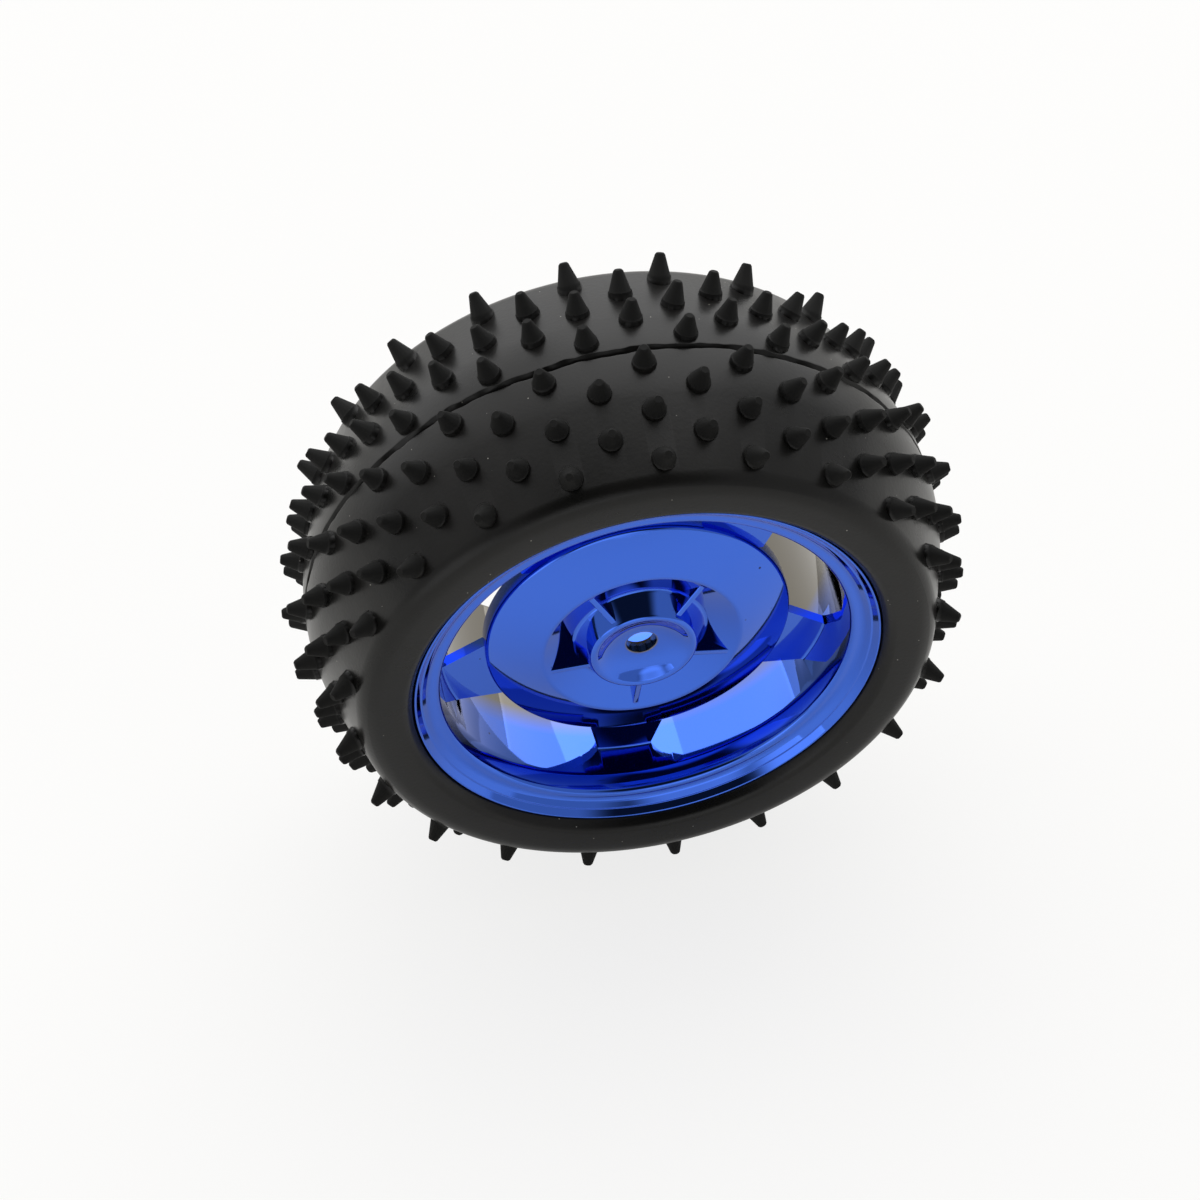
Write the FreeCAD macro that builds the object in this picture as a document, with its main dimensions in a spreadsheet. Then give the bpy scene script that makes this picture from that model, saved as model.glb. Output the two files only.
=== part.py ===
"""Spiked wheel for a small robot car: a plated rim, a foam insert and a rubber tyre with staggered pins.

Lengths are in millimetres. The wheel stands on its tread: its axle lies along Y, the outer face looks
towards -Y, and the origin is the centre of the wheel. In the turned profiles the sketch's x is the radius
and its y runs along the axle. Depths on the rim's face are measured from the front flange's edge.
"""

import FreeCAD
import Part
import Sketcher
import math
import os
import re

SIZES = [
    # rim: flanges and barrel
    ("rim_width", 35.0, "rim over both flanges"),
    ("flange_radius", 31.0, "outer edge of a flange"),
    ("flange_edge", 1.3, "flat of a flange's outer edge, which the tyre closes on"),
    ("step_radius", 29.8, "foot of the steep outer ring on the front flange"),
    ("step_depth", 1.2, "depth of that foot"),
    ("mouth_radius", 27.0, "inner edge of the front flange's broad ring"),
    ("mouth_depth", 2.0, "depth of that edge"),
    ("bead_radius", 28.0, "outside of the barrel, the seat of the tyre's beads"),
    ("bead_depth", 3.3, "from the flange's edge to the near side of a bead"),
    ("barrel_radius", 27.0, "inside of the barrel behind the spokes"),
    # rim: disc of spokes and raised centre
    ("disc_wall", 1.5, "wall of the spokes, the cone and the funnel"),
    ("floor_radius", 26.3, "where the spokes meet the barrel"),
    ("floor_depth", 8.4, "depth of the spokes"),
    ("cone_base_radius", 20.3, "foot of the centre cone, which drops to the spokes in a step"),
    ("cone_base_depth", 7.2, "depth of that foot"),
    ("cone_top_radius", 13.2, "edge round the pocket on top of the cone"),
    ("cone_top_depth", 4.65, "depth of that edge"),
    ("pocket_radius", 8.7, "bottom of the funnel pocket"),
    ("pocket_depth", 6.9, "depth of the pocket's bottom"),
    # rim: spokes and windows
    ("spoke_count", 5, "spokes, ribs and windows round the rim"),
    ("spoke_root_width", 10.7, "spoke where it leaves the cone"),
    ("spoke_width", 7.3, "spoke where it meets the barrel"),
    ("spoke_phase", 22.0, "angle of the first spoke from +X, turning about +Y"),
    ("window_radius", 26.7, "outer edge of a window, cut a little into the barrel's wall"),
    ("window_corner", 10.0, "curve of a window's outer corners, from the spokes up the wall"),
    # rim: hub
    ("lip_radius", 7.0, "outside of the hub's raised lip"),
    ("lip_width", 0.7, "flat on top of the lip"),
    ("lip_depth", 3.5, "depth of the lip"),
    ("seat_radius", 4.2, "flat seat of the wheel nut in the hub's bowl"),
    ("seat_depth", 5.2, "depth of that seat"),
    ("axle_radius", 2.0, "axle hole"),
    ("nut_wall", 1.8, "wall between the nut's seat and the hexagon socket"),
    ("hex_flats", 12.0, "hexagon socket across its flats"),
    ("hex_depth", 5.5, "depth of the socket"),
    ("hub_radius", 9.0, "outside of the hub behind the disc"),
    ("rib_width", 0.8, "thin ribs from the lip to the edge of the pocket"),
    ("rib_sink", 0.5, "a rib's top below the edges that it joins, and its sides inside the walls"),
    # tyre: casing
    ("crown_radius", 42.35, "tread along the middle of the tyre"),
    ("crown_half_width", 4.0, "half of the level crown"),
    ("tread_edge_radius", 38.4, "edge of the tread, below the sloping shoulders"),
    ("tread_half_width", 16.9, "half of the tread"),
    ("shoulder_radius", 36.8, "foot of the bevel along the tread's edge"),
    ("shoulder_half_width", 18.4, "half width over that foot"),
    ("bulge_radius", 33.8, "where the sidewalls stand out most"),
    ("tyre_width", 38.0, "tyre over its sidewalls"),
    ("lip_bevel", 1.0, "bevel of a sidewall's inner edge, along the radius"),
    ("lip_half_width", 18.75, "half width over that bevel"),
    ("tyre_wall", 1.9, "rubber under the tread and in the sidewalls"),
    ("bead_width", 3.5, "width of a bead"),
    ("bead_height", 3.0, "bead above its seat"),
    ("bead_clearance", 0.05, "glue between the tyre and the rim"),
    # tyre: pins
    ("column_pairs", 21, "pairs of pin columns round the tread; the columns of a pair mirror each other"),
    ("column_phase", -1.0, "angle of the first column from +X, turning about +Y"),
    ("pin_height", 3.5, "pin above the tread"),
    ("pin_base", 2.7, "pin across its foot"),
    ("pin_tip", 1.15, "pin across its tip"),
    ("pin_root", 0.6, "length of a pin that is sunk in the tread"),
    ("pin_place_one", -15.3, "first pin of a column, along the axle"),
    ("pin_place_two", -8.9, "second pin"),
    ("pin_place_three", -2.35, "third pin"),
    ("pin_place_four", 5.7, "fourth pin"),
    ("pin_place_five", 11.9, "fifth pin"),
    # foam insert
    ("foam_clearance", 0.1, "foam from the rubber and from the barrel"),
]
ALIASES = {alias for alias, _, _ in SIZES}
PIN_PLACES = ("pin_place_one", "pin_place_two", "pin_place_three", "pin_place_four", "pin_place_five")
AXLE = FreeCAD.Vector(0, 1, 0)


def make_sizes(doc):
    sheet = doc.addObject("Spreadsheet::Sheet", "Sizes")
    for row, (alias, size, meaning) in enumerate(SIZES, start=1):
        sheet.set(f"A{row}", meaning)
        sheet.set(f"B{row}", str(size))
        sheet.setAlias(f"B{row}", alias)
    doc.recompute()
    return sheet


def bound(formula):
    """The formula with each size's name pointing at its cell of the sheet."""
    return re.sub(r"[a-z_]+", lambda m: f"Sizes.{m[0]}" if m[0] in ALIASES else m[0], formula)


def value(item, formula):
    return float(FreeCAD.Units.Quantity(item.evalExpression(bound(formula))).Value)


def origin_feature(body, role):
    return next(f for f in body.Origin.OriginFeatures if f.Role == role)


def new_sketch(body, name, plane, axis=None, angle="0", lift="0"):
    """A sketch on one of the body's planes, turned about an axis and lifted along the plane's normal."""
    sketch = body.newObject("Sketcher::SketchObject", name)
    sketch.AttachmentSupport = [(origin_feature(body, plane), "")]
    sketch.MapMode = "FlatFace"
    if axis:
        sketch.AttachmentOffset = FreeCAD.Placement(FreeCAD.Vector(), FreeCAD.Rotation(axis, 1))
        sketch.setExpression("AttachmentOffset.Rotation.Angle", bound(angle))
    sketch.setExpression("AttachmentOffset.Base.z", bound(lift))
    return sketch


def bind(sketch, rules):
    for rule, formula in rules:
        number = sketch.addConstraint(rule)
        sketch.setExpression(f"Constraints[{number}]", bound(formula))


def outline(sketch, corners):
    """Draw a closed outline of straight lines whose corners are held by formulas."""
    points = [FreeCAD.Vector(value(sketch, x), value(sketch, y), 0) for x, y in corners]
    for i, point in enumerate(points):
        sketch.addGeometry(Part.LineSegment(points[i - 1], point))
    for i, (x, y) in enumerate(corners):
        sketch.addConstraint(Sketcher.Constraint("Coincident", i, 2, (i + 1) % len(corners), 1))
        across = Sketcher.Constraint("DistanceX", -1, 1, i, 2, points[i].x)
        along = Sketcher.Constraint("DistanceY", -1, 1, i, 2, points[i].y)
        bind(sketch, [(across, x), (along, y)])


def mirrored(half):
    """The outline whose rear half is given, from the outside to the inside, carried on round the front."""
    return half + [(x, f"-({y})") for x, y in reversed(half)]


def turned(body, name, corners):
    sketch = new_sketch(body, f"{name}_profile", "XY_Plane")
    outline(sketch, corners)
    feature = body.newObject("PartDesign::Revolution", name)
    feature.Profile = sketch
    feature.ReferenceAxis = (sketch, ["V_Axis"])
    feature.Angle = 360


def repeated(body, name, original, count):
    pattern = body.newObject("PartDesign::PolarPattern", name)
    pattern.Originals = [original]
    pattern.Axis = (origin_feature(body, "Y_Axis"), [""])
    pattern.Angle = 360
    pattern.setExpression("Occurrences", bound(count))
    body.Tip = pattern


def draw_window(sketch):
    """A ring sector between two tapering spokes, whose outer corners curve from the spokes to the ring."""
    turn = "180 / spoke_count"

    def place(reach, width):
        """Formulas for the corner at one distance from the axle, on the edge of a spoke of one width."""
        along = f"sqrt({reach} ^ 2 - ({width} / 2) ^ 2)"
        across = f"{along} * cos({turn}) + {width} / 2 * sin({turn})"
        return across, f"{along} * sin({turn}) - {width} / 2 * cos({turn})"

    def arc(centre, radius, start, end):
        first, last = (math.atan2(p.y - centre.y, p.x - centre.x) for p in (start, end))
        circle = Part.Circle(centre, FreeCAD.Vector(0, 0, 1), radius)
        return sketch.addGeometry(Part.ArcOfCircle(circle, first, last))

    root = place("cone_base_radius", "spoke_root_width")
    foot = place("floor_radius", "spoke_width")
    inner, outer = value(sketch, "cone_base_radius"), value(sketch, "window_radius")
    rounding = value(sketch, "window_corner")
    high_root = FreeCAD.Vector(value(sketch, root[0]), value(sketch, root[1]), 0)
    high_foot = FreeCAD.Vector(value(sketch, foot[0]), value(sketch, foot[1]), 0)
    reach, floor = outer - rounding, high_foot.Length
    lag = math.acos((reach**2 + floor**2 - rounding**2) / (2 * reach * floor))
    angle = math.atan2(high_foot.y, high_foot.x) - lag
    high_centre = FreeCAD.Vector(math.cos(angle), math.sin(angle), 0) * reach
    high_end = high_centre * (outer / reach)
    low_root, low_foot, low_centre, low_end = (
        FreeCAD.Vector(high.x, -high.y, 0) for high in (high_root, high_foot, high_centre, high_end)
    )

    inner_ring = arc(FreeCAD.Vector(), inner, low_root, high_root)
    outer_ring = arc(FreeCAD.Vector(), outer, low_end, high_end)
    low_corner = arc(low_centre, rounding, low_foot, low_end)
    high_corner = arc(high_centre, rounding, high_end, high_foot)
    low_side = sketch.addGeometry(Part.LineSegment(low_root, low_foot))
    high_side = sketch.addGeometry(Part.LineSegment(high_root, high_foot))

    for kind, *meeting in (
        ("Coincident", low_side, 1, inner_ring, 1),
        ("Coincident", high_side, 1, inner_ring, 2),
        ("Coincident", low_side, 2, low_corner, 1),
        ("Coincident", high_side, 2, high_corner, 2),
        ("Tangent", low_corner, 2, outer_ring, 1),
        ("Tangent", outer_ring, 2, high_corner, 1),
        ("Coincident", outer_ring, 3, -1, 1),
        ("Coincident", inner_ring, 3, -1, 1),
    ):
        sketch.addConstraint(Sketcher.Constraint(kind, *meeting))
    rules = [
        (Sketcher.Constraint("Radius", inner_ring, inner), "cone_base_radius"),
        (Sketcher.Constraint("Radius", outer_ring, outer), "window_radius"),
    ]
    for hand, side, corner in ((-1, low_side, low_corner), (1, high_side, high_corner)):
        rules += [
            (Sketcher.Constraint("DistanceY", -1, 1, side, 1, hand * high_root.y), f"{hand} * ({root[1]})"),
            (Sketcher.Constraint("DistanceX", -1, 1, side, 2, high_foot.x), foot[0]),
            (Sketcher.Constraint("DistanceY", -1, 1, side, 2, hand * high_foot.y), f"{hand} * ({foot[1]})"),
            (Sketcher.Constraint("Radius", corner, rounding), "window_corner"),
        ]
    bind(sketch, rules)


def make_rim(doc):
    body = doc.addObject("PartDesign::Body", "rim")
    front = "-rim_width / 2"
    back = "rim_width / 2"
    hub_end = f"{front} + seat_depth + nut_wall + hex_depth"
    turned(
        body,
        "moulding",
        [
            # face, from the front flange's edge down to the axle hole
            ("flange_radius", front),
            ("step_radius", f"{front} + step_depth"),
            ("mouth_radius", f"{front} + mouth_depth"),
            ("floor_radius", f"{front} + floor_depth"),
            ("cone_base_radius", f"{front} + floor_depth"),
            ("cone_base_radius", f"{front} + cone_base_depth"),
            ("cone_top_radius", f"{front} + cone_top_depth"),
            ("pocket_radius", f"{front} + pocket_depth"),
            ("lip_radius", f"{front} + lip_depth"),
            ("lip_radius - lip_width", f"{front} + lip_depth"),
            ("seat_radius", f"{front} + seat_depth"),
            ("axle_radius", f"{front} + seat_depth"),
            # back, from the hub out to the rear flange
            ("axle_radius", hub_end),
            ("hub_radius", hub_end),
            ("hub_radius", f"{front} + pocket_depth + disc_wall"),
            ("cone_top_radius", f"{front} + cone_top_depth + disc_wall"),
            ("cone_base_radius - disc_wall", f"{front} + floor_depth + disc_wall"),
            ("barrel_radius", f"{front} + floor_depth + disc_wall"),
            ("barrel_radius", f"{back} - mouth_depth"),
            ("flange_radius", back),
            # outside of the barrel
            ("flange_radius", f"{back} - flange_edge"),
            ("bead_radius", f"{back} - bead_depth"),
            ("bead_radius", f"{front} + bead_depth"),
            ("flange_radius", f"{front} + flange_edge"),
        ],
    )

    # windows between the spokes, cut from the middle of the wheel towards its face
    normal = FreeCAD.Vector(0, 0, 1)
    first_window = "-(spoke_phase + 180 / spoke_count)"
    sketch = new_sketch(body, "window_outline", "XZ_Plane", normal, first_window)
    draw_window(sketch)
    window = body.newObject("PartDesign::Pocket", "window")
    window.Profile = sketch
    window.Type = "ThroughAll"
    window.Reversed = True
    repeated(body, "windows", window, "spoke_count")

    # thin ribs across the funnel pocket, one in line with each spoke
    sketch = new_sketch(body, "rib_outline", "XY_Plane", AXLE, "spoke_phase")
    outline(
        sketch,
        [
            ("lip_radius - rib_sink", f"{front} + lip_depth + rib_sink"),
            ("lip_radius - rib_sink", f"{front} + pocket_depth"),
            ("pocket_radius", f"{front} + pocket_depth + rib_sink"),
            ("cone_top_radius", f"{front} + cone_top_depth + rib_sink"),
        ],
    )
    rib = body.newObject("PartDesign::Pad", "rib")
    rib.Profile = sketch
    rib.SideType = "Symmetric"
    rib.setExpression("Length", bound("rib_width"))
    repeated(body, "ribs", rib, "spoke_count")

    # hexagon socket in the back of the hub
    sketch = new_sketch(body, "socket_outline", "XZ_Plane", lift=f"-({hub_end})")
    corner = "hex_flats / sqrt(3)"
    turns = range(0, 360, 60)
    outline(sketch, [(f"{corner} * cos({turn})", f"{corner} * sin({turn})") for turn in turns])
    socket = body.newObject("PartDesign::Pocket", "socket")
    socket.Profile = sketch
    socket.setExpression("Length", bound("hex_depth"))
    socket.Reversed = True
    body.Tip = socket
    return body


def make_casing(doc):
    body = doc.addObject("PartDesign::Body", "casing")
    flange = "flange_radius + bead_clearance"
    seat = "bead_radius + bead_clearance"
    bead_near = "rim_width / 2 - bead_depth - bead_clearance"
    half = [
        # outside, from the crown down to the rim
        ("crown_radius", "crown_half_width"),
        ("tread_edge_radius", "tread_half_width"),
        ("shoulder_radius", "shoulder_half_width"),
        ("bulge_radius", "tyre_width / 2"),
        (f"{flange} + lip_bevel", "lip_half_width"),
        (flange, "rim_width / 2"),
        # bead behind the flange
        (flange, "rim_width / 2 - flange_edge - bead_clearance"),
        (seat, bead_near),
        (seat, f"{bead_near} - bead_width"),
        ("bead_radius + bead_height", f"{bead_near} - bead_width"),
        # hollow for the foam
        ("tread_edge_radius - tyre_wall", "tread_half_width - tyre_wall"),
        ("crown_radius - tyre_wall", "crown_half_width"),
    ]
    turned(body, "casing_turned", mirrored(half))
    return body


def make_pin(size):
    """One tapered pin that stands along Y, with its foot at the origin and its root below."""
    taper = (size("pin_base") - size("pin_tip")) / size("pin_height")
    root = (size("pin_base") + size("pin_root") * taper) / 2
    tip = size("pin_tip") / 2
    return Part.makeWedge(
        -root, -size("pin_root"), -root, -tip, -tip, root, size("pin_height"), root, tip, tip
    )


def make_tyre(doc, size):
    """The casing and its pins, one moulding. The pins stand square to the tread."""
    casing = make_casing(doc)
    pin = make_pin(size)
    level = size("crown_half_width")
    fall = (size("crown_radius") - size("tread_edge_radius")) / (size("tread_half_width") - level)
    column_step = 180 / size("column_pairs")
    copies = []
    for column in range(2 * int(size("column_pairs"))):
        hand = 1 if column % 2 == 0 else -1
        for name in PIN_PLACES:
            place = hand * size(name)
            past_crown = max(abs(place) - level, 0)
            lean = math.copysign(math.degrees(math.atan(fall)), place) if past_crown else 0
            copy = pin.copy()
            copy.rotate(FreeCAD.Vector(), FreeCAD.Vector(0, 0, 1), lean - 90)
            copy.translate(FreeCAD.Vector(size("crown_radius") - past_crown * fall, place, 0))
            copy.rotate(FreeCAD.Vector(), AXLE, size("column_phase") + column * column_step)
            copies.append(copy)
    pins = doc.addObject("Part::Feature", "tread_pins")
    pins.Shape = Part.makeCompound(copies)
    tyre = doc.addObject("Part::MultiFuse", "tyre")
    tyre.Shapes = [casing, pins]
    return tyre


def make_foam(doc):
    """A plain ring that fills the tyre between its beads and touches the hollow at its two edges."""
    body = doc.addObject("PartDesign::Body", "foam_insert")
    half_width = "(rim_width / 2 - bead_depth - bead_clearance - bead_width - foam_clearance)"
    run = "(tread_half_width - tyre_wall - crown_half_width)"
    fall = f"(crown_radius - tread_edge_radius) / {run} * ({half_width} - crown_half_width)"
    half = [
        (f"crown_radius - tyre_wall - {fall} - foam_clearance", half_width),
        ("bead_radius + foam_clearance", half_width),
    ]
    turned(body, "foam_ring", mirrored(half))
    return body


def main():
    doc = FreeCAD.newDocument("wheel")
    sheet = make_sizes(doc)
    pieces = [make_rim(doc), make_tyre(doc, sheet.get), make_foam(doc)]
    doc.recompute()
    for item in doc.Objects:
        if "Invalid" in item.State or "Error" in item.State:
            raise RuntimeError(f"{item.Name} failed: {item.State}")
    for piece in pieces:
        if piece.Shape.isNull() or not piece.Shape.isValid() or len(piece.Shape.Solids) != 1:
            raise RuntimeError(f"{piece.Label} is not one valid solid")
    os.makedirs("parts", exist_ok=True)
    for piece in pieces:
        piece.Shape.exportStep(f"parts/{piece.Label}.step")
        print(piece.Label, round(piece.Shape.Volume, 1), "mm3,", len(piece.Shape.Faces), "faces")


main()
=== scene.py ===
import math
import random

import bmesh
import bpy
from mathutils import Matrix, Vector, noise


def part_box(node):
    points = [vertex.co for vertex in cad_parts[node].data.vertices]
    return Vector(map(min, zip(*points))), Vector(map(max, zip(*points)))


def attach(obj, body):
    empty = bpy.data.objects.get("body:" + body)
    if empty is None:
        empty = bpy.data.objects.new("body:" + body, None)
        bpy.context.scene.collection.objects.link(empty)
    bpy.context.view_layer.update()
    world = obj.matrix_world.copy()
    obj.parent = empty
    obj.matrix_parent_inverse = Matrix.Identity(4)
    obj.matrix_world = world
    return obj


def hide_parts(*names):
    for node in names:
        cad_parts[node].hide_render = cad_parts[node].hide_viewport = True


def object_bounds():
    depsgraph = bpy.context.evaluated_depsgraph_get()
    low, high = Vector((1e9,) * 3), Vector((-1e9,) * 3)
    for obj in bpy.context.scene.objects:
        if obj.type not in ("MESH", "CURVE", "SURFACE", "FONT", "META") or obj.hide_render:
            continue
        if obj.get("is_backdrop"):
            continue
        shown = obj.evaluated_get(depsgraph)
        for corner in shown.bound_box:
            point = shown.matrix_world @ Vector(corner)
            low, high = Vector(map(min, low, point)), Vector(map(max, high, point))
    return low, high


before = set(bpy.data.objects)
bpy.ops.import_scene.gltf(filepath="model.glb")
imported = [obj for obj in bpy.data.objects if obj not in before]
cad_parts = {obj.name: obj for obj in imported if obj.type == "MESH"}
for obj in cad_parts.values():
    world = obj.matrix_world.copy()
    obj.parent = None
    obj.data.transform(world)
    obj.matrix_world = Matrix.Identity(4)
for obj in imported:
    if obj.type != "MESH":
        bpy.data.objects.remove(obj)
cad_low, cad_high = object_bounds()

# Rim: one moulding of ABS with a barrel, two dished flanges, five spokes, a raised centre cone and a hub.
# It is plated bright in a vacuum and sprayed with clear blue lacquer. The car's axle carries it: a nut holds
# it in the dished hub, and a hexagon behind the hub drives it.
MM = 0.001
AXLE = Vector((0, 1, 0))
FULL_TURN = 2 * math.pi
rim_low, rim_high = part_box("rim")
rim_front, rim_back = rim_low.y / MM, rim_high.y / MM
flange_radius = rim_high.x / MM
flange_edge, flange_foot, back_chamfer = 1.3, 3.3, 2.0
lip_radii, lip_edge = (30.85, 30.6), 0.3
fold_radii, fold_depth = (29.95, 29.7), 0.85
cove_radius, cove_depth = 28.8, 1.7
rib_ring_radius, rib_ring_depth = 27.3, 1.55
barrel_outside, barrel_inside, window_radius, window_depth = 28.0, 27.0, 26.7, 4.3
disc_wall, disc_back = 1.5, rim_front + 9.9
cone_foot_radius, cone_foot = 20.3, rim_front + 7.2
cone_top_radius, cone_top = 13.2, rim_front + 4.65
pocket_radius, pocket_floor = 8.7, rim_front + 6.9
hub_lip_radius, hub_lip_width, hub_lip_top = 7.0, 0.7, rim_front + 3.5
hub_radius, hub_end = 9.0, rim_front + 12.5
axle_radius, nut_seat_radius, nut_seat = 2.0, 4.2, rim_front + 5.2
spoke_count, first_spoke = 5, math.radians(22)
rim_steps, corner_segments, edge_segments = 300, 4, 3

# corners of the turned outlines: radius, place along the axle, rounding
barrel_profile = [
    (flange_radius, rim_front + lip_edge, 0.12),
    (lip_radii[0], rim_front, 0.1),
    (lip_radii[1], rim_front, 0.1),
    (fold_radii[0], rim_front + fold_depth, 0.05),
    (fold_radii[1], rim_front + fold_depth, 0.05),
    (cove_radius, rim_front + cove_depth, 0.5),
    (rib_ring_radius, rim_front + rib_ring_depth, 0.6),
    (window_radius, rim_front + window_depth, 0.5),
    (window_radius, disc_back, 0.5),
    (barrel_inside, rim_back - back_chamfer, 0.4),
    (flange_radius, rim_back, 0.25),
    (flange_radius, rim_back - flange_edge, 0.3),
    (barrel_outside, rim_back - flange_foot, 0.3),
    (barrel_outside, rim_front + flange_foot, 0.3),
    (flange_radius, rim_front + flange_edge, 0.3),
]
centre_profile = [
    (cone_foot_radius, disc_back, 0.2),
    (cone_foot_radius, cone_foot, 0.45),
    (cone_top_radius, cone_top, 0.35),
    (pocket_radius, pocket_floor, 0.5),
    (hub_lip_radius, hub_lip_top, 0.33),
    (hub_lip_radius - hub_lip_width, hub_lip_top, 0.33),
    (nut_seat_radius, nut_seat, 1.7),
    (axle_radius, nut_seat, 0.15),
    (axle_radius, hub_end, 0.2),
    (hub_radius, hub_end, 0.3),
    (hub_radius, pocket_floor + disc_wall, 0.2),
    (cone_top_radius, cone_top + disc_wall, 0.5),
    (cone_foot_radius - disc_wall, disc_back, 0.3),
]


def turned(profile, steps, round_segments):
    """Round the corners of a closed profile in millimetres, then spin it about the axle."""
    bm = bmesh.new()
    corners = [bm.verts.new((radius * MM, along * MM, 0)) for radius, along, _ in profile]
    for i, corner in enumerate(corners):
        bm.edges.new((corners[i - 1], corner))
    for corner, (_, _, rounding) in zip(corners, profile):
        bmesh.ops.bevel(
            bm, geom=[corner], affect="VERTICES", offset=rounding * MM, offset_type="OFFSET",
            segments=round_segments, profile=0.5, material=-1,
        )
    bmesh.ops.spin(
        bm, geom=bm.verts[:] + bm.edges[:], cent=(0, 0, 0), axis=AXLE, angle=FULL_TURN, steps=steps,
        use_merge=True,
    )
    bmesh.ops.recalc_face_normals(bm, faces=bm.faces)
    return bm


def add_piece(name, bm):
    """Make an object of a finished bmesh, with smooth faces."""
    mesh = bpy.data.meshes.new(name)
    bm.to_mesh(mesh)
    bm.free()
    mesh.shade_smooth()
    piece = bpy.data.objects.new(name, mesh)
    bpy.context.scene.collection.objects.link(piece)
    return piece


def only_verts(geom):
    """The vertices in what an operator returns."""
    return [item for item in geom if isinstance(item, bmesh.types.BMVert)]


def repeat_round(bm, count, first):
    """Turn what the bmesh holds by the first angle, and set copies of it evenly about the axle."""
    made = bm.verts[:] + bm.edges[:] + bm.faces[:]
    for i in range(1, count):
        copy = bmesh.ops.duplicate(bm, geom=made)["geom"]
        turn = Matrix.Rotation(FULL_TURN * i / count, 3, AXLE)
        bmesh.ops.rotate(bm, verts=only_verts(copy), cent=(0, 0, 0), matrix=turn)
    bmesh.ops.rotate(bm, verts=bm.verts, cent=(0, 0, 0), matrix=Matrix.Rotation(first, 3, AXLE))
    bmesh.ops.recalc_face_normals(bm, faces=bm.faces)


def combine(piece, other, operation):
    """Cut the other mesh from the piece or fuse it on, and remove it."""
    step = piece.modifiers.new(operation, "BOOLEAN")
    step.operation = operation
    step.solver = "MANIFOLD"
    step.object = other
    shown = piece.evaluated_get(bpy.context.evaluated_depsgraph_get())
    made = bpy.data.meshes.new_from_object(shown)
    piece.modifiers.clear()
    piece.data = made
    bpy.data.objects.remove(other)


rim = add_piece("rim_plated", turned(barrel_profile, rim_steps, corner_segments))
combine(rim, add_piece("centre", turned(centre_profile, rim_steps, corner_segments)), "UNION")

# a spoke tapers outwards, and its foot curves up the barrel's wall on both sides
spoke_face, spoke_foot_radius = rim_front + 8.4, 26.3
spoke_root_width, spoke_foot_width = 11.2, 7.3
foot_top, foot_curve, foot_edge_radius = rim_front + window_depth, 10.0, window_radius + 0.05
foot_fillet, spoke_rounding = 0.35, 0.3
curve_steps, wall_steps = 10, 24
cone_overlap, barrel_overlap = 0.9, 0.7
sunk_in_cone, sunk_in_barrel = cone_foot_radius - cone_overlap, window_radius + barrel_overlap
root_turn = math.asin(spoke_root_width / 2 / sunk_in_cone)
foot_turn = math.asin(spoke_foot_width / 2 / spoke_foot_radius)
curve_reach = foot_edge_radius - foot_curve
curve_lag = math.acos(
    (curve_reach**2 + spoke_foot_radius**2 - foot_curve**2) / (2 * curve_reach * spoke_foot_radius)
)
curve_sweep = math.asin(math.sin(curve_lag) * spoke_foot_radius / foot_curve)
edge_turn = foot_turn + curve_lag


def on_face(radius, turn, along):
    """A point at a radius from the axle, turned about it from +X."""
    return Matrix.Rotation(turn, 3, AXLE) @ Vector((radius * MM, along * MM, 0))


def swept(bm, start, centre, angle, steps):
    """Draw an arc from a vertex by spinning it about a centre, and return the arc's last vertex."""
    made = bmesh.ops.spin(bm, geom=[start], cent=centre, axis=AXLE, angle=angle, steps=steps)
    return only_verts(made["geom_last"])[0]


spoke = bmesh.new()
sides = []
for hand in (-1, 1):
    root = spoke.verts.new(on_face(sunk_in_cone, hand * root_turn, foot_top))
    foot = spoke.verts.new(on_face(spoke_foot_radius, hand * foot_turn, foot_top))
    spoke.edges.new((root, foot))
    curve_centre = on_face(curve_reach, hand * edge_turn, foot_top)
    sides.append((root, swept(spoke, foot, curve_centre, hand * curve_sweep, curve_steps)))
buried = spoke.verts.new(on_face(sunk_in_barrel, -edge_turn, foot_top))
spoke.edges.new((sides[0][1], buried))
spoke.edges.new((swept(spoke, buried, (0, 0, 0), 2 * edge_turn, wall_steps), sides[1][1]))
spoke.edges.new((sides[0][0], sides[1][0]))
bmesh.ops.contextual_create(spoke, geom=spoke.edges[:])
raised = bmesh.ops.extrude_face_region(spoke, geom=spoke.faces[:])["geom"]
bmesh.ops.translate(spoke, verts=only_verts(raised), vec=AXLE * (disc_back - foot_top) * MM)
bmesh.ops.recalc_face_normals(spoke, faces=spoke.faces)
spokes = add_piece("spokes", spoke)

# what lies in front of the spokes is cut away: flat over the spoke, then up the wall in a small fillet
clear_height, floor_margin = 6.0, 0.1
wall_lean, wall_height = 0.7, 6.4
wall_slope = wall_lean / wall_height
laid_on_axle = Matrix.Rotation(math.pi / 2, 4, "X")
clear = bmesh.new()
bmesh.ops.create_cone(
    clear, cap_ends=True, segments=rim_steps, radius1=spoke_foot_radius * MM,
    radius2=(spoke_foot_radius + clear_height * wall_slope) * MM, depth=clear_height * MM,
    matrix=Matrix.Translation((0, (spoke_face - clear_height / 2) * MM, 0)) @ laid_on_axle,
)
floor_ring = [
    edge for edge in clear.edges
    if min(v.co.y for v in edge.verts) > (spoke_face - floor_margin) * MM
]
bmesh.ops.bevel(
    clear, geom=floor_ring, affect="EDGES", offset=foot_fillet * MM, offset_type="OFFSET",
    segments=corner_segments, profile=0.5, material=-1,
)
combine(spokes, add_piece("clear", clear), "DIFFERENCE")

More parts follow.
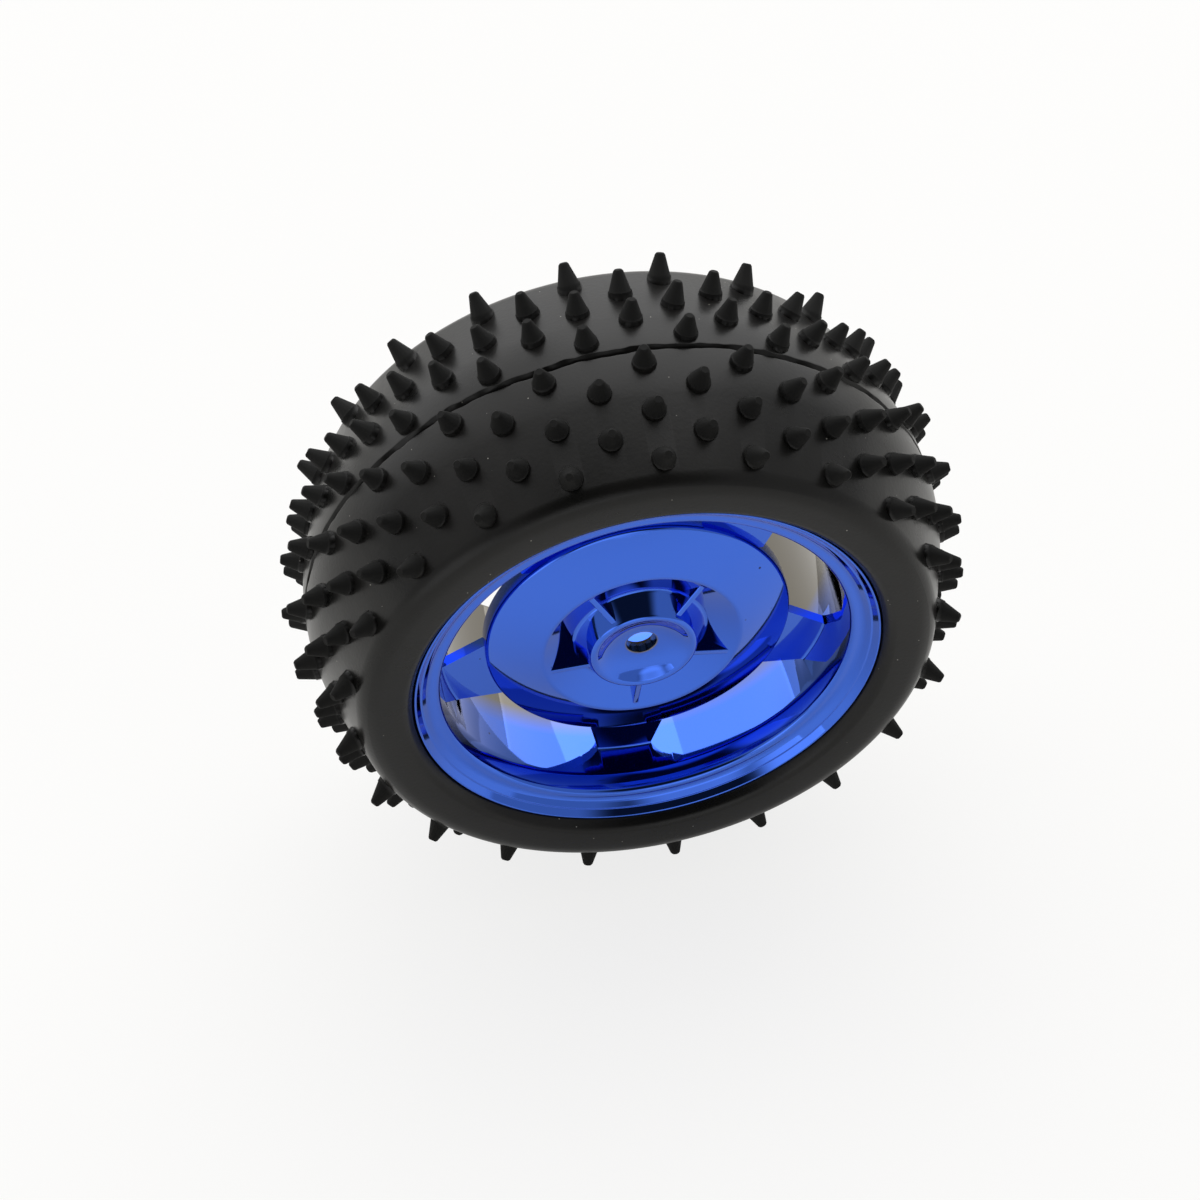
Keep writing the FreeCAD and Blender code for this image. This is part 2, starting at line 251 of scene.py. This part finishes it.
# the spoke's edges are slightly round, up to the thin ends of its foot
merge_distance, spoke_edge_angle = 0.02, math.radians(35)
rounded_from, rounded_to = cone_foot_radius - 0.5, spoke_foot_radius - 0.2
spoke = bmesh.new()
spoke.from_mesh(spokes.data)
bpy.data.objects.remove(spokes)
bmesh.ops.remove_doubles(spoke, verts=spoke.verts, dist=merge_distance * MM)
outer_edges = [
    edge for edge in spoke.edges
    if edge.calc_face_angle(0) > spoke_edge_angle and edge.is_convex
    and all(rounded_from < v.co.xz.length / MM < rounded_to for v in edge.verts)
]
bmesh.ops.bevel(
    spoke, geom=outer_edges, affect="EDGES", offset=spoke_rounding * MM, offset_type="OFFSET",
    segments=edge_segments, profile=0.5, material=-1,
)
repeat_round(spoke, spoke_count, first_spoke)
combine(rim, add_piece("spokes", spoke), "UNION")

# thin ribs stand across the pocket, from the hub's lip to the pocket's edge
rib_width, rib_sink, rib_rounding, shortest_front_edge = 0.8, 0.5, 0.16, 6.0
rib = bmesh.new()
rib_corners = [
    (hub_lip_radius - rib_sink, hub_lip_top + rib_sink),
    (hub_lip_radius - rib_sink, pocket_floor),
    (pocket_radius, pocket_floor + rib_sink),
    (cone_top_radius, cone_top + rib_sink),
]
rib.faces.new([
    rib.verts.new((radius * MM, along * MM, -rib_width / 2 * MM)) for radius, along in rib_corners
])
raised = bmesh.ops.extrude_face_region(rib, geom=rib.faces[:])["geom"]
bmesh.ops.translate(rib, verts=only_verts(raised), vec=(0, 0, rib_width * MM))
front_edges = [
    edge for edge in rib.edges
    if abs((edge.verts[0].co - edge.verts[1].co).x) > shortest_front_edge * MM
]
bmesh.ops.bevel(
    rib, geom=front_edges, affect="EDGES", offset=rib_rounding * MM, offset_type="OFFSET",
    segments=edge_segments, profile=0.5, material=-1,
)
repeat_round(rib, spoke_count, first_spoke)
combine(rim, add_piece("ribs", rib), "UNION")

# hexagon socket in the back of the hub, with two corners along X
hex_flats, hex_depth = 12.0, 5.5
hex_corner = hex_flats / math.sqrt(3)
socket = bmesh.new()
bmesh.ops.create_cone(
    socket, cap_ends=True, segments=6, radius1=hex_corner * MM, radius2=hex_corner * MM,
    depth=2 * hex_depth * MM,
    matrix=Matrix.Translation((0, hub_end * MM, 0)) @ laid_on_axle @ Matrix.Rotation(math.pi / 6, 4, "Z"),
)
combine(rim, add_piece("socket", socket), "DIFFERENCE")

# the slivers that the cuts leave are merged away, and faces square to the axle are shaded flat, so that they
# mirror as planes
sliver, crease_angle, square_to_axle = 0.001, math.radians(25), 0.9999
tidied = bmesh.new()
tidied.from_mesh(rim.data)
bmesh.ops.dissolve_degenerate(tidied, edges=tidied.edges, dist=sliver * MM)
tidied.to_mesh(rim.data)
tidied.free()
rim.data.set_sharp_from_angle(angle=crease_angle)
for face in rim.data.polygons:
    face.use_smooth = abs(face.normal.y) < square_to_axle


def linear(hex_colour):
    """An sRGB hex colour as the linear colour that a socket takes."""
    parts = [int(hex_colour[i:i + 2], 16) / 255 for i in (1, 3, 5)]
    return [*(c / 12.92 if c <= 0.04045 else ((c + 0.055) / 1.055) ** 2.4 for c in parts), 1.0]


def add_node(owner, kind, links=None, **settings):
    """Add a node to a material or world, set its sockets and properties by name, and link its inputs."""
    tree = owner.node_tree
    node = tree.nodes.new(kind)
    for name, setting in settings.items():
        if hasattr(node, name):
            setattr(node, name, setting)
        else:
            node.inputs[name.replace("_", " ")].default_value = setting
    for name, source in (links or {}).items():
        tree.links.new(source, node.inputs[name])
    return node


def new_material(name, **settings):
    """A material with its shader's sockets set by name, and the shader."""
    material = bpy.data.materials.new(name)
    material.use_nodes = True
    shader = material.node_tree.nodes["Principled BSDF"]
    for socket_name, setting in settings.items():
        shader.inputs[socket_name.replace("_", " ")].default_value = setting
    return material, shader


def about_axle(material, place):
    """The outputs of nodes that give a point's distance from the axle and its place along it."""
    across = add_node(material, "ShaderNodeVectorMath", {0: place.outputs["Object"]}, operation="MULTIPLY")
    across.inputs[1].default_value = (1, 0, 1)
    radius = add_node(material, "ShaderNodeVectorMath", {0: across.outputs["Vector"]}, operation="LENGTH")
    along = add_node(material, "ShaderNodeSeparateXYZ", {"Vector": place.outputs["Object"]})
    return radius.outputs["Value"], along.outputs["Y"]


# plated ABS under blue lacquer: a mirror that tints what it shows, with the slight waviness of a moulding
# and a few specks of dust in the lacquer. The lacquer is sprayed on the front: it thins out in the barrel
# behind the spokes and doesn't reach into the axle hole, and the plating stays silver there. That bare
# plating is given a dark warm grey, which is painted shade.
lacquer_blue, lacquer_speck, bare_plating_painted_shade = "#3767d8", "#0c1650", "#6a655b"
lacquer_ends, lacquer_fade = disc_back + 1.0, 4.0
bare_radius, coated_radius = axle_radius + 0.05, axle_radius + 0.3
speck_spacing, speck_size, speck_blur, wave_length = 5.0, 0.13, 1.6, 8.0
plating, shader = new_material(
    "plated_abs_blue_lacquer", Metallic=1.0, Roughness=0.05, Coat_Weight=0.45, Coat_Roughness=0.03
)
place = add_node(plating, "ShaderNodeTexCoord")
specks = add_node(
    plating, "ShaderNodeTexVoronoi", {"Vector": place.outputs["Object"]}, Scale=1 / (speck_spacing * MM)
)
lacquer = add_node(plating, "ShaderNodeValToRGB", {"Fac": specks.outputs["Distance"]})
lacquer.color_ramp.elements[0].position = speck_size / speck_spacing
lacquer.color_ramp.elements[0].color = linear(lacquer_speck)
lacquer.color_ramp.elements[1].position = speck_blur * speck_size / speck_spacing
lacquer.color_ramp.elements[1].color = linear(lacquer_blue)
from_axle, along_axle = about_axle(plating, place)
reached = add_node(
    plating, "ShaderNodeMapRange", {"Value": from_axle}, From_Min=bare_radius * MM,
    From_Max=coated_radius * MM,
)
# the bare plating's dark warm grey, mixed in here and below, is painted shade
coat = add_node(
    plating, "ShaderNodeMixRGB", {"Fac": reached.outputs["Result"], "Color2": lacquer.outputs["Color"]},
    Color1=linear(bare_plating_painted_shade),
)
thinned = add_node(
    plating, "ShaderNodeMapRange", {"Value": along_axle}, From_Min=lacquer_ends * MM,
    From_Max=(lacquer_ends + lacquer_fade) * MM,
)
sprayed = add_node(
    plating, "ShaderNodeMixRGB", {"Fac": thinned.outputs["Result"], "Color1": coat.outputs["Color"]},
    Color2=linear(bare_plating_painted_shade),
)
plating.node_tree.links.new(sprayed.outputs["Color"], shader.inputs["Base Color"])
waves = add_node(
    plating, "ShaderNodeTexNoise", {"Vector": place.outputs["Object"]}, Scale=1 / (wave_length * MM),
    Detail=1.0,
)
bump = add_node(
    plating, "ShaderNodeBump", {"Height": waves.outputs["Fac"]}, Strength=0.07, Distance=0.3 * MM
)
plating.node_tree.links.new(bump.outputs["Normal"], shader.inputs["Normal"])
rim.data.materials.clear()
rim.data.materials.append(plating)
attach(rim, "root")
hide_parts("rim")

# Foam insert: a ring cut from open-cell sponge. It fills the tyre between its beads, touches the rubber
# with its two edges and can't be seen once the tyre is on the rim.
foam_low, foam_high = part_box("foam_insert")
foam_gap, foam_edge, foam_cell, foam_steps = 0.1, 0.8, 0.9, 120
foam_radius, foam_inside = foam_high.x / MM, barrel_outside + foam_gap
foam_front, foam_back = foam_low.y / MM, foam_high.y / MM
foam = add_piece("foam_ring", turned([
    (foam_radius, foam_front, foam_edge),
    (foam_inside, foam_front, foam_edge),
    (foam_inside, foam_back, foam_edge),
    (foam_radius, foam_back, foam_edge),
], foam_steps, edge_segments))

# polyurethane sponge: matt, with painted shade darkening the inside of its open cells
painted_cell_shade, sponge_cream = "#8c8676", "#d6d0c0"
sponge, shader = new_material("open_cell_sponge", Roughness=0.95)
place = add_node(sponge, "ShaderNodeTexCoord")
cells = add_node(
    sponge, "ShaderNodeTexVoronoi", {"Vector": place.outputs["Object"]}, Scale=1 / (foam_cell * MM)
)
tones = add_node(sponge, "ShaderNodeValToRGB", {"Fac": cells.outputs["Distance"]})
tones.color_ramp.elements[0].color = linear(painted_cell_shade)
tones.color_ramp.elements[1].color = linear(sponge_cream)
sponge.node_tree.links.new(tones.outputs["Color"], shader.inputs["Base Color"])
bump = add_node(
    sponge, "ShaderNodeBump", {"Height": cells.outputs["Distance"]}, Strength=0.6, Distance=0.3 * MM
)
sponge.node_tree.links.new(bump.outputs["Normal"], shader.inputs["Normal"])
foam.data.materials.append(sponge)
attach(foam, "root")
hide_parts("foam_insert")

# Tyre: one moulding of black rubber. Its mould closes along the middle of the crown, where it leaves a
# ragged seam, and the tread carries staggered columns of tapered pins. Two beads lock it behind the flanges.
_, tyre_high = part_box("tyre")
tyre_half_width = tyre_high.y / MM
crown_radius, crown_half_width = 42.35, 4.0
tread_radius, tread_half_width = 38.4, 16.9
tread_slope = math.atan((crown_radius - tread_radius) / (tread_half_width - crown_half_width))
shoulder_radius, shoulder_half_width = 38.05, 18.0
side_radii, side_inset = (36.4, 33.8), 0.05
side_half_width = tyre_half_width - side_inset
rim_guard, rim_guard_half_width = 1.0, 18.75
tyre_wall, rubber_gap, rubber_set_back = 1.9, 0.05, 0.1
bead_width, bead_top_radius = 3.5, 31.0
bead_outer = rim_back - flange_foot - rubber_gap
bead_inner = bead_outer - bead_width
seam_width, seam_depth = 0.95, 0.7
half_profile = [
    (crown_radius, seam_width / 2, 0.06),
    (crown_radius, crown_half_width, 3.2),
    (shoulder_radius, shoulder_half_width, 1.1),
    (side_radii[0], side_half_width, 0.8),
    (side_radii[1], side_half_width, 1.3),
    (flange_radius + rim_guard, rim_guard_half_width, 0.6),
    (flange_radius + rubber_gap, rim_back - rubber_set_back, 0.3),
    (flange_radius + rubber_gap, rim_back - flange_edge - rubber_gap, 0.2),
    (barrel_outside + rubber_gap, bead_outer, 0.2),
    (barrel_outside + rubber_gap, bead_inner, 0.2),
    (bead_top_radius, bead_inner, 0.4),
    (tread_radius - tyre_wall, tread_half_width - tyre_wall, 1.0),
    (crown_radius - tyre_wall, crown_half_width, 2.0),
]
tyre_profile = [(crown_radius - seam_depth, 0, 0.1), *half_profile]
tyre_profile += [(radius, -along, rounding) for radius, along, rounding in reversed(half_profile)]
column_count, first_column, steps_per_column = 42, math.radians(-1), 10
casing = turned(tyre_profile, steps_per_column * column_count, corner_segments)

# the mould's halves don't meet evenly, so the seam wanders and each of its edges is torn in its own way
seam_sway, seam_tear, sway_length, tear_length, apart = 0.35, 0.28, 9.0, 1.6, 7
seam_bottom, seam_middle = crown_radius - seam_depth - 0.1, seam_width / 8
for vert in casing.verts:
    if vert.co.xz.length > seam_bottom * MM and abs(vert.co.y) < seam_width * MM:
        sway = noise.noise(vert.co / (sway_length * MM)) * seam_sway
        side = math.copysign(1, vert.co.y) if abs(vert.co.y) > seam_middle * MM else 0
        tear = noise.noise(vert.co / (tear_length * MM) + Vector((apart * side, 0, 0))) * seam_tear
        vert.co.y += (sway + tear) * MM
tyre = add_piece("tyre_rubber", casing)

# a pin is a short collar with a blunt cone on it. The pins fan out and grow towards the shoulders, lean a
# little as rubber does, and each column mirrors the one before it.
pin_places = (-15.3, -8.9, -2.35, 5.7, 11.9)
pin_fan, pin_wobble, pin_uneven, crown_pin_share = 25.4, math.radians(2.5), 0.04, 0.84
pin_height, pin_root, collar_height = 3.45, 0.7, 0.6
pin_foot_radius, pin_base_radius, pin_tip_radius = 1.68, 1.52, 0.66
collar_step, tip_edge, tip_inset, pin_sides = 0.12, 0.2, 0.18, 12
pin = bmesh.new()
pin_line = [
    pin.verts.new((radius * MM, 0, height * MM))
    for radius, height in (
        (0, -pin_root), (pin_foot_radius, -pin_root), (pin_base_radius, collar_height),
        (pin_base_radius - collar_step, collar_height + collar_step), (pin_tip_radius, pin_height - tip_edge),
        (pin_tip_radius - tip_inset, pin_height), (0, pin_height),
    )
]
for low, high in zip(pin_line, pin_line[1:]):
    pin.edges.new((low, high))
bmesh.ops.spin(
    pin, geom=pin.verts[:] + pin.edges[:], cent=(0, 0, 0), axis=(0, 0, 1), angle=FULL_TURN, steps=pin_sides,
    use_merge=True,
)
bmesh.ops.remove_doubles(pin, verts=pin.verts, dist=sliver * MM)
bmesh.ops.recalc_face_normals(pin, faces=pin.faces)
pin_mesh = bpy.data.meshes.new("pin")
pin.to_mesh(pin_mesh)
pin.free()
random.seed(7)
pins = bmesh.new()
for column in range(column_count):
    hand = 1 if column % 2 == 0 else -1
    for pin_place in pin_places:
        along = hand * pin_place
        past_crown = max(abs(along) - crown_half_width, 0)
        stretch = crown_pin_share + (1 - crown_pin_share) * abs(along / pin_places[0])
        radius = crown_radius - past_crown * math.tan(tread_slope)
        seat = (
            Matrix.Rotation(first_column + FULL_TURN * column / column_count, 4, AXLE)
            @ Matrix.Translation((radius * MM, along * MM, 0))
            @ Matrix.Rotation(math.asin(along / pin_fan) + random.gauss(0, pin_wobble), 4, "Z")
            @ Matrix.Rotation(math.pi / 2 + random.gauss(0, pin_wobble), 4, "Y")
            @ Matrix.Rotation(random.uniform(0, FULL_TURN), 4, "Z")
            @ Matrix.Diagonal((1, 1, stretch - abs(random.gauss(0, pin_uneven)), 1))
        )
        have = len(pins.verts)
        pins.from_mesh(pin_mesh)
        pins.verts.ensure_lookup_table()
        bmesh.ops.transform(pins, matrix=seat, verts=pins.verts[have:])
bpy.data.meshes.remove(pin_mesh)
combine(tyre, add_piece("pins", pins), "UNION")
pin_crease_angle = math.radians(38)
tyre.data.set_sharp_from_angle(angle=pin_crease_angle)

# moulded natural rubber: satin black with cloudy gloss, a fine grain and pale specks of mould dust. Grain and
# specks are drawn as coarse as they need to show. The pins come from rough holes in the mould, so they are
# matt, and their colour is darkened a little as painted shade.
rubber_dark, rubber_light, pin_painted_shade, dust_grey = "#0d0d0c", "#161514", "#0e0e0d", "#8f8d86"
rough_tread, rough_pin, pin_begins = (0.22, 0.36), 0.8, (0.2, 0.7)
dust_spacing, dust_size, dust_blur = 2.4, 0.07, 1.5
cloud_size, cloud_range, grain_size = 12.0, (0.35, 0.7), 0.5
rubber, shader = new_material("moulded_rubber", Specular_IOR_Level=0.25)
place = add_node(rubber, "ShaderNodeTexCoord")
grain = add_node(
    rubber, "ShaderNodeTexNoise", {"Vector": place.outputs["Object"]}, Scale=1 / (grain_size * MM),
    Detail=3.0,
)
clouds = add_node(
    rubber, "ShaderNodeTexNoise", {"Vector": place.outputs["Object"]}, Scale=1 / (cloud_size * MM),
    Detail=4.0,
)
tones = add_node(rubber, "ShaderNodeValToRGB", {"Fac": clouds.outputs["Fac"]})
tones.color_ramp.elements[0].position = cloud_range[0]
tones.color_ramp.elements[0].color = linear(rubber_dark)
tones.color_ramp.elements[1].position = cloud_range[1]
tones.color_ramp.elements[1].color = linear(rubber_light)
dust = add_node(
    rubber, "ShaderNodeTexVoronoi", {"Vector": place.outputs["Object"]}, Scale=1 / (dust_spacing * MM)
)
dusty = add_node(
    rubber, "ShaderNodeMapRange", {"Value": dust.outputs["Distance"]}, From_Min=dust_size / dust_spacing,
    From_Max=dust_blur * dust_size / dust_spacing, To_Min=1.0, To_Max=0.0,
)
dusted = add_node(
    rubber, "ShaderNodeMixRGB", {"Fac": dusty.outputs["Result"], "Color1": tones.outputs["Color"]},
    Color2=linear(dust_grey),
)
from_axle, along_axle = about_axle(rubber, place)
from_crown = add_node(rubber, "ShaderNodeMath", {0: along_axle}, operation="ABSOLUTE")
tread = add_node(
    rubber, "ShaderNodeMapRange", {"Value": from_crown.outputs["Value"]}, From_Min=crown_half_width * MM,
    From_Max=tread_half_width * MM, To_Min=crown_radius * MM, To_Max=tread_radius * MM,
)
proud = add_node(
    rubber, "ShaderNodeMath", {0: from_axle, 1: tread.outputs["Result"]}, operation="SUBTRACT"
)
on_pin = add_node(
    rubber, "ShaderNodeMapRange", {"Value": proud.outputs["Value"]}, From_Min=pin_begins[0] * MM,
    From_Max=pin_begins[1] * MM,
)
# the pins' darker colour is painted shade
pin_shade_mix = add_node(
    rubber, "ShaderNodeMixRGB", {"Fac": on_pin.outputs["Result"], "Color1": dusted.outputs["Color"]},
    Color2=linear(pin_painted_shade),
)
rubber.node_tree.links.new(pin_shade_mix.outputs["Color"], shader.inputs["Base Color"])
clouded = add_node(
    rubber, "ShaderNodeMapRange", {"Value": clouds.outputs["Fac"]}, To_Min=rough_tread[0],
    To_Max=rough_tread[1],
)
dulled = add_node(
    rubber, "ShaderNodeMapRange", {"Value": on_pin.outputs["Result"], "To Min": clouded.outputs["Result"]},
    To_Max=rough_pin,
)
rubber.node_tree.links.new(dulled.outputs["Result"], shader.inputs["Roughness"])
bump = add_node(
    rubber, "ShaderNodeBump", {"Height": grain.outputs["Fac"]}, Strength=0.25, Distance=0.06 * MM
)
rubber.node_tree.links.new(bump.outputs["Normal"], shader.inputs["Normal"])
tyre.data.materials.clear()
tyre.data.materials.append(rubber)
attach(tyre, "root")
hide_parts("tyre")

# Stage: a floor of white paper in soft light from above and behind. Most of what the camera sees of it, and
# part of what the plating mirrors, is plain white. The rest is lit and keeps the wheel's shadow.
floor_reach, paper_glow, mirrored_glow = 3.0, 0.8, 0.4
sheet = bmesh.new()
bmesh.ops.create_grid(
    sheet, x_segments=1, y_segments=1, size=floor_reach, matrix=Matrix.Translation((0, 0, cad_low.z))
)
floor = add_piece("floor", sheet)
paper_white, plain_white = "#f6f4ee", "#ffffff"
paper, shader = new_material(
    "white_paper", Base_Color=linear(paper_white), Roughness=0.9, Specular_IOR_Level=0.0
)
ray = add_node(paper, "ShaderNodeLightPath")
seen = add_node(
    paper, "ShaderNodeMath", {0: ray.outputs["Is Camera Ray"], 1: ray.outputs["Is Transmission Ray"]},
    operation="ADD",
)
shown = add_node(paper, "ShaderNodeMath", {0: seen.outputs["Value"]}, operation="MULTIPLY")
shown.inputs[1].default_value = paper_glow
share = add_node(
    paper, "ShaderNodeMath", {0: ray.outputs["Is Glossy Ray"], 2: shown.outputs["Value"]},
    operation="MULTIPLY_ADD",
)
share.inputs[1].default_value = mirrored_glow
glow = add_node(paper, "ShaderNodeEmission", Color=linear(plain_white), Strength=1.0)
blend = add_node(
    paper, "ShaderNodeMixShader",
    {0: share.outputs["Value"], 1: shader.outputs["BSDF"], 2: glow.outputs["Emission"]},
)
surface = paper.node_tree.nodes["Material Output"].inputs["Surface"]
paper.node_tree.links.new(blend.outputs["Shader"], surface)
floor.data.materials.append(paper)
floor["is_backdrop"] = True

# Room: an even light that is brighter behind the wheel and below the horizon, with two bright patches low in
# front and a dark one where the camera stands, so that the plating has something to show. A patch has its
# direction, the cosines of the angles from it at which it begins and is full, and the light that it adds.
room_light = 0.55
room_patches = [
    ((0.0, 0.95, 0.3), 0.25, 0.65, 1.2),
    ((0.0, 0.0, -1.0), -0.04, 0.02, 0.4),
    ((-0.1, -0.62, 0.78), 0.74, 0.9, -0.52),
    ((-0.72, -0.68, 0.12), 0.92, 0.985, 0.9),
    ((-0.1, -0.95, 0.28), 0.93, 0.985, 0.9),
]
world = bpy.data.worlds.new("studio")
bpy.context.scene.world = world
world.use_nodes = True
place = add_node(world, "ShaderNodeTexCoord")
level = add_node(world, "ShaderNodeValue")
level.outputs["Value"].default_value = room_light
for direction, begins, full, added in room_patches:
    towards = add_node(
        world, "ShaderNodeVectorMath", {0: place.outputs["Generated"]}, operation="DOT_PRODUCT"
    )
    towards.inputs[1].default_value = Vector(direction).normalized()
    patch = add_node(
        world, "ShaderNodeMapRange", {"Value": towards.outputs["Value"]}, interpolation_type="SMOOTHSTEP",
        From_Min=begins, From_Max=full, To_Max=added,
    )
    level = add_node(
        world, "ShaderNodeMath", {0: level.outputs["Value"], 1: patch.outputs["Result"]}, operation="ADD"
    )
walls = world.node_tree.nodes["Background"]
walls.inputs["Color"].default_value = linear(plain_white)
world.node_tree.links.new(level.outputs["Value"], walls.inputs["Strength"])

# Lamp: one large soft box above and behind the wheel, facing it.
box_place, box_size, box_power = Vector((0.3, 0.8, 1.0)), 1.2, 4
light = bpy.data.lights.new("back_box", "AREA")
light.size = box_size
light.energy = box_power
lamp = bpy.data.objects.new("back_box", light)
lamp.location = box_place
lamp.rotation_euler = (-box_place).to_track_quat("-Z", "Y").to_euler()
bpy.context.scene.collection.objects.link(lamp)

# Camera: found from the rings of the rim and the pins of the tread in the photograph.
azimuth, elevation, distance = math.radians(-11.68), math.radians(51.68), 0.486
sensor, focal_length, shift_right, shift_up = 36, 112.5, -0.0414, 0.0608
back = Vector((
    math.sin(azimuth) * math.cos(elevation),
    -math.cos(azimuth) * math.cos(elevation),
    math.sin(elevation),
))
camera_data = bpy.data.cameras.new("camera")
camera_data.sensor_width = sensor
camera_data.lens = focal_length
camera_data.shift_x = shift_right
camera_data.shift_y = shift_up
camera = bpy.data.objects.new("camera", camera_data)
camera.location = Vector((0, rim_low.y, 0)) + back * distance
camera.rotation_euler = (-back).to_track_quat("-Z", "Y").to_euler()
bpy.context.scene.collection.objects.link(camera)
bpy.context.scene.camera = camera
bpy.context.scene.view_settings.view_transform = "Standard"

# both boxes, in metres: the solids' and the dressed part's
low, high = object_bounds()
